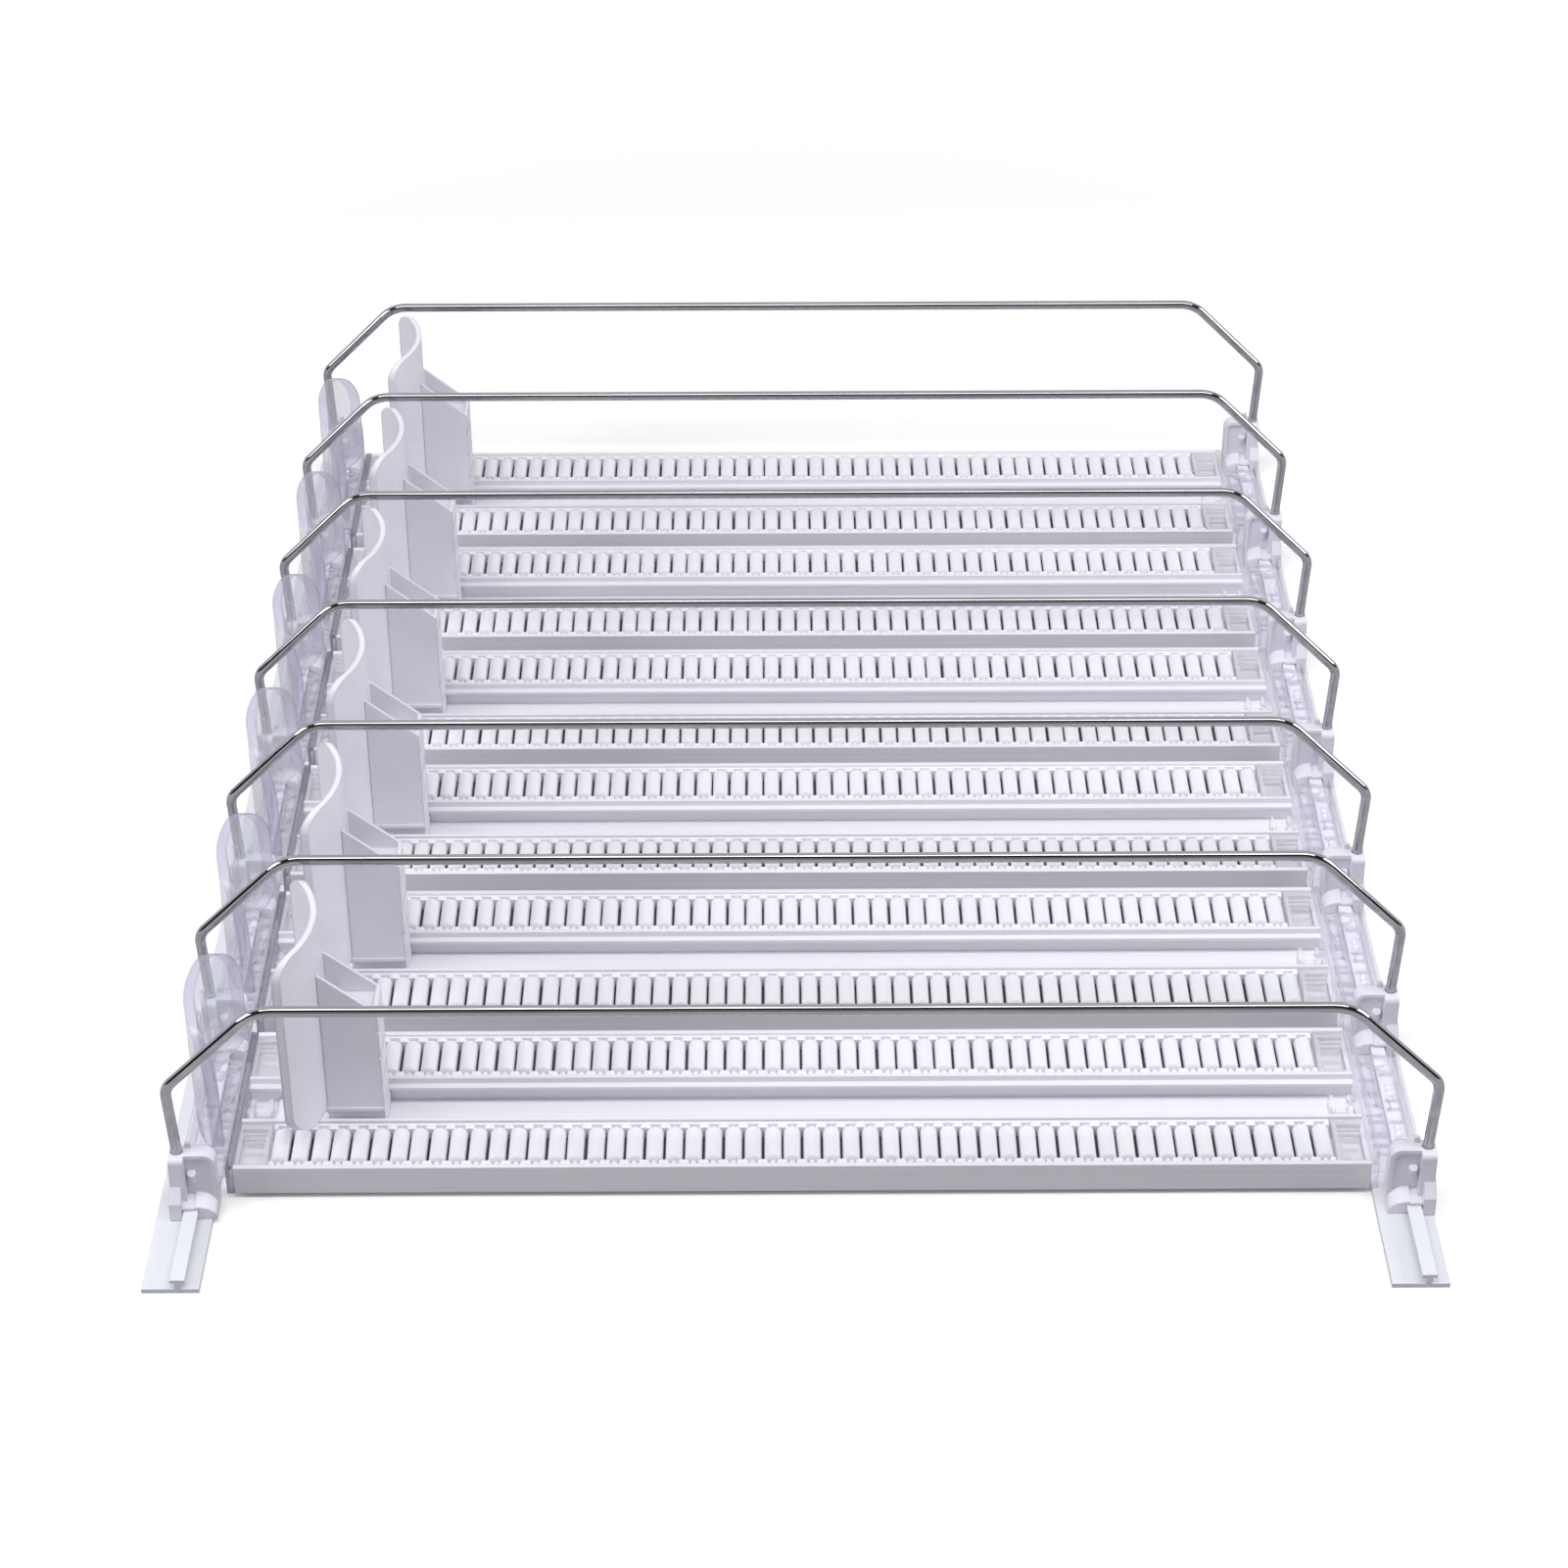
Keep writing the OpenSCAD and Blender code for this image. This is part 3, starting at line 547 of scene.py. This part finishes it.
# Copies a CAD mesh into a new piece with softened edges.
def softened(name, node):
    bm = bmesh.new()
    bm.from_mesh(nodes[node].data)
    bmesh.ops.remove_doubles(bm, verts=bm.verts, dist=0.002 * mm)
    bmesh.ops.dissolve_limit(bm, angle_limit=math.radians(1), verts=bm.verts, edges=bm.edges)
    mesh = bpy.data.meshes.new(name)
    bm.to_mesh(mesh)
    bm.free()
    made = newObject(name, mesh)
    before, after = (math.radians(angle) for angle in capSpec["sharp"])
    bevel = made.modifiers.new("soft edges", "BEVEL")
    bevel.width, bevel.segments = capSpec["bevel"] * mm, capSpec["steps"]
    bevel.limit_method, bevel.angle_limit = "ANGLE", before
    bevel.use_clamp_overlap = True
    view = bpy.context.evaluated_depsgraph_get()
    made.data = bpy.data.meshes.new_from_object(made.evaluated_get(view))
    made.modifiers.clear()
    for face in made.data.polygons:
        face.use_smooth = True
    made.data.set_sharp_from_angle(angle=after)
    return made


# Which part of a cap a face belongs to; middle is the middle of the stop's curve.
def capPart(face, end, middle):
    margin, flange = capSpec["margin"] * mm, capSpec["flange"] * mm
    centre = face.center
    if trayFront + margin < centre.x < trayRear - margin:
        return "block"
    if end == "rear":
        return "clear"
    outward = centre.xy - middle
    if centre.z > capSpec["stopLow"] * mm and outward.length > capSpec["stopInside"] * mm:
        radial = abs(face.normal.xy.dot(outward.normalized()))
        return "edge" if radial < capSpec["radial"] else "pane"
    inFlange = abs(centre.x - trayFront + flange / 2) < flange / 2 + margin
    return "flange" if inFlange else "clear"


# The middles of a cap's ribs, each with its length in the direction in which it runs.
def ribPoints(name, end, middle):
    width, height = ribSpec["width"], ribSpec["height"]
    ribs = []
    for spec in ribSpec["parts"]:
        x0, x1 = spec["x"]
        z = spec["low"] + height / 2
        ribs += [((x0 + x1) / 2, y + width / 2, z, x1 - x0, 0) for y in spec["across"]]
        ribs += [(x + width / 2, (y0 + y1) / 2, z, 0, y1 - y0) for x, y0, y1 in spec["along"]]
    start, out = (trayRear, 1) if end == "rear" else (trayFront, -1)
    made = bpy.data.meshes.new(name)
    places = [(start + out * x * mm, middle + y * mm, z * mm) for x, y, z, *_ in ribs]
    made.from_pydata(places, [], [])
    length = made.attributes.new("length", "FLOAT_VECTOR", "POINT")
    for point, (*_, longX, longY) in zip(length.data, ribs):
        point.vector = (longX * mm, longY * mm, 0)
    return made


# Geometry Nodes: on each point a thin bar, as long as the point's length attribute says.
def barTree():
    tree, given = newTree("bars on points", {"Width": "Float", "Height": "Float",
                                             "Material": "Material"})
    length = addNode(tree, "GeometryNodeInputNamedAttribute", {"data_type": "FLOAT_VECTOR"},
                     Name="length")
    thick = addNode(tree, "ShaderNodeCombineXYZ", X=given["Width"], Y=given["Width"],
                    Z=given["Height"])
    size = addNode(tree, "ShaderNodeVectorMath", {"operation": "MAXIMUM"},
                   i0=length.outputs[0], i1=thick.outputs[0])
    bar = addNode(tree, "GeometryNodeMeshCube")
    copies = addNode(tree, "GeometryNodeInstanceOnPoints", Points=given["Geometry"],
                     Instance=bar.outputs["Mesh"], Scale=size.outputs[0])
    return endTree(tree, copies.outputs[0], given["Material"])


bars = barTree()
ribValues = {"Width": ribSpec["width"] * mm, "Height": ribSpec["height"] * mm,
             "Material": capMaterials["rib"]}
for lane in lanes:
    for end in ("front", "rear"):
        node = f"{end}_cap_{lane}"
        cap = softened(f"{node}_clear", node)
        low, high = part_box(node)
        stopMiddle = (capSpec["stopFront"] + capSpec["stopRadius"]) * mm
        middle = Vector((stopMiddle, (low.y + high.y) / 2))
        for face in cap.data.polygons:
            face.material_index = capSlots[capPart(face, end, middle)]
        ribs = grow(bars, ribPoints(f"{node}_ribs", end, middle.y), ribValues)
        for face in ribs.polygons:
            face.material_index, face.use_smooth = capSlots["rib"], False
        cap.data = joined(cap.name, [cap.data, ribs], capMaterials.values())
        # lamps reach what lies under clear plastic
        cap.visible_shadow = False
        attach(cap, "shelf")
        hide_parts(node)
print("caps made")

# rollers and cradles, in mm

rollerSpec = {
    "pitch": 5.5,
    "count": 54,
    "stripMiddle": 20.0,
    "axis": 8.15,
    "steps": 20,
    # a roller from its journal's end to its middle: distance from the middle, radius
    "outline": ((8.5, 0.6), (8.25, 0.95), (6.72, 0.95), (6.7, 1.7), (6.58, 2.15), (6.25, 2.45)),
    "jitter": 0.13,
    "seed": 7,
    "combLow": 2.9,
    "combTop": 9.75,
    # inner side of a comb, end of its cups and outer side, from the strip's middle
    "comb": (6.95, 8.6, 9.6),
    # a cup for a journal, from its rim down: half width, height
    "cup": ((1.95, 9.75), (1.6, 9.6), (1.25, 9.15), (1.1, 8.3)),
    "bedHalf": 6.93,
    "bedTop": 6.3,
    "sharp": 35,  # degrees
}


# Adds a closed outline of (x, z) points, drawn out from y0 to y1.
def drawOut(bm, outline, y0, y1):
    rings = [[bm.verts.new((x * mm, y * mm, z * mm)) for x, z in outline] for y in (y0, y1)]
    bm.faces.new(rings[0])
    bm.faces.new(rings[1][::-1])
    for i in range(len(outline)):
        j = (i + 1) % len(outline)
        bm.faces.new((rings[0][j], rings[0][i], rings[1][i], rings[1][j]))


# Adds a turned shape round the Y axis at height z: profile is (y, radius) points.
def turn(bm, profile, z, steps):
    angles = [2 * math.pi * k / steps for k in range(steps)]
    rings = [[bm.verts.new((r * mm * math.sin(a), y * mm, (z + r * math.cos(a)) * mm))
              for a in angles] for y, r in profile]
    bm.faces.new(rings[0][::-1])
    bm.faces.new(rings[-1])
    for low, high in zip(rings, rings[1:]):
        for k in range(steps):
            after = (k + 1) % steps
            bm.faces.new((low[k], low[after], high[after], high[k]))


def finishMesh(bm, name):
    bmesh.ops.recalc_face_normals(bm, faces=bm.faces)
    mesh = bpy.data.meshes.new(name)
    bm.to_mesh(mesh)
    bm.free()
    for face in mesh.polygons:
        face.use_smooth = True
    mesh.set_sharp_from_angle(angle=math.radians(rollerSpec["sharp"]))
    return mesh


# One roller with its journals.
def rollerMesh():
    bm = bmesh.new()
    side = list(rollerSpec["outline"])
    turn(bm, [(-y, r) for y, r in side] + side[::-1], rollerSpec["axis"], rollerSpec["steps"])
    return finishMesh(bm, "roller_unit")


# One pitch of both combs: a cup for the journal inside, a plain wall outside.
def combMesh():
    bm = bmesh.new()
    edge, low, top = rollerSpec["pitch"] / 2, rollerSpec["combLow"], rollerSpec["combTop"]
    side = [(edge, low), (edge, top), *rollerSpec["cup"]]
    cupped = [(-x, z) for x, z in side] + side[::-1]
    plain = [(-edge, low), (-edge, top), (edge, top), (edge, low)]
    inner, cupEnd, outer = rollerSpec["comb"]
    for sign in (-1, 1):
        drawOut(bm, cupped, *sorted((sign * inner, sign * cupEnd)))
        drawOut(bm, plain, *sorted((sign * cupEnd, sign * outer)))
    return finishMesh(bm, "comb_unit")


# The bed below both strips of a lane, from rowStart to rowEnd; it carries the painted shade of the
# gaps between rollers.
def bedMesh(lane, laneMiddle, rowStart, rowEnd):
    bm = bmesh.new()
    low, top, half = rollerSpec["combLow"], rollerSpec["bedTop"], rollerSpec["bedHalf"]
    outline = [(rowStart, low), (rowStart, top), (rowEnd, top), (rowEnd, low)]
    for sign in (-1, 1):
        middle = laneMiddle / mm + sign * rollerSpec["stripMiddle"]
        drawOut(bm, outline, middle - half, middle + half)
    return finishMesh(bm, f"beds_{lane}")


# Geometry Nodes: a unit on each point of two parallel lines, shifted a little at random.
def rowTree():
    tree, given = newTree("two rows of units", {
        "Count": "Int", "Pitch": "Float", "Half Spacing": "Float", "First": "Vector",
        "Jitter": "Float", "Seed": "Int", "Unit": "Object", "Material": "Material"})
    step = addNode(tree, "ShaderNodeCombineXYZ", X=given["Pitch"])
    shift = addNode(tree, "ShaderNodeCombineXYZ", Y=given["Half Spacing"])
    rows = addNode(tree, "GeometryNodeJoinGeometry")
    for operation in ("ADD", "SUBTRACT"):
        start = addNode(tree, "ShaderNodeVectorMath", {"operation": operation},
                        i0=given["First"], i1=shift.outputs[0])
        line = addNode(tree, "GeometryNodeMeshLine", Count=given["Count"],
                       Start_Location=start.outputs[0], Offset=step.outputs[0])
        tree.links.new(line.outputs[0], rows.inputs[0])
    least = addNode(tree, "ShaderNodeMath", {"operation": "MULTIPLY"}, i0=given["Jitter"], i1=-1.0)
    chance = addNode(tree, "FunctionNodeRandomValue", {"data_type": "FLOAT"},
                     i2=least.outputs[0], i3=given["Jitter"], Seed=given["Seed"])
    nudge = addNode(tree, "ShaderNodeCombineXYZ", X=chance.outputs[1])
    placed = addNode(tree, "GeometryNodeSetPosition", Geometry=rows.outputs[0],
                     Offset=nudge.outputs[0])
    unit = addNode(tree, "GeometryNodeObjectInfo", Object=given["Unit"])
    copies = addNode(tree, "GeometryNodeInstanceOnPoints", Points=placed.outputs[0],
                     Instance=unit.outputs["Geometry"])
    return endTree(tree, copies.outputs[0], given["Material"])


rows = rowTree()
rollerUnit = newObject("roller_unit", rollerMesh())
combUnit = newObject("comb_unit", combMesh())
pitch, count = rollerSpec["pitch"], rollerSpec["count"]
rowStart = (trayFront + trayRear) / 2 / mm - pitch * count / 2
for lane in lanes:
    low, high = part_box(f"tray_{lane}")
    laneMiddle = (low.y + high.y) / 2
    shared = {"Count": count, "Pitch": pitch * mm, "Half Spacing": rollerSpec["stripMiddle"] * mm,
              "First": ((rowStart + pitch / 2) * mm, laneMiddle, 0.0),
              "Seed": rollerSpec["seed"] + lane, "Material": rollerMaterial}
    rollers = grow(rows, bpy.data.meshes.new(f"rollers_{lane}"),
                   dict(shared, Jitter=rollerSpec["jitter"] * mm, Unit=rollerUnit))
    combs = grow(rows, bpy.data.meshes.new(f"combs_{lane}"),
                 dict(shared, Jitter=0.0, Unit=combUnit))
    beds = bedMesh(lane, laneMiddle, rowStart, rowStart + pitch * count)
    # the beds take the deep grey of painted shade, so that the gaps between rollers read dark
    parts = {rollers: rollerMaterial, combs: cradleMaterial, beds: bedShadeMaterial}
    for index, mesh in enumerate(parts):
        for face in mesh.polygons:
            face.material_index = index
    name = f"rollers_and_combs_{lane}"
    strips = newObject(name, joined(name, parts, parts.values()))
    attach(strips, "shelf")
    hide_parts(f"roller_strips_{lane}")
for unit in (rollerUnit, combUnit):
    bpy.data.objects.remove(unit)
print("rollers made")
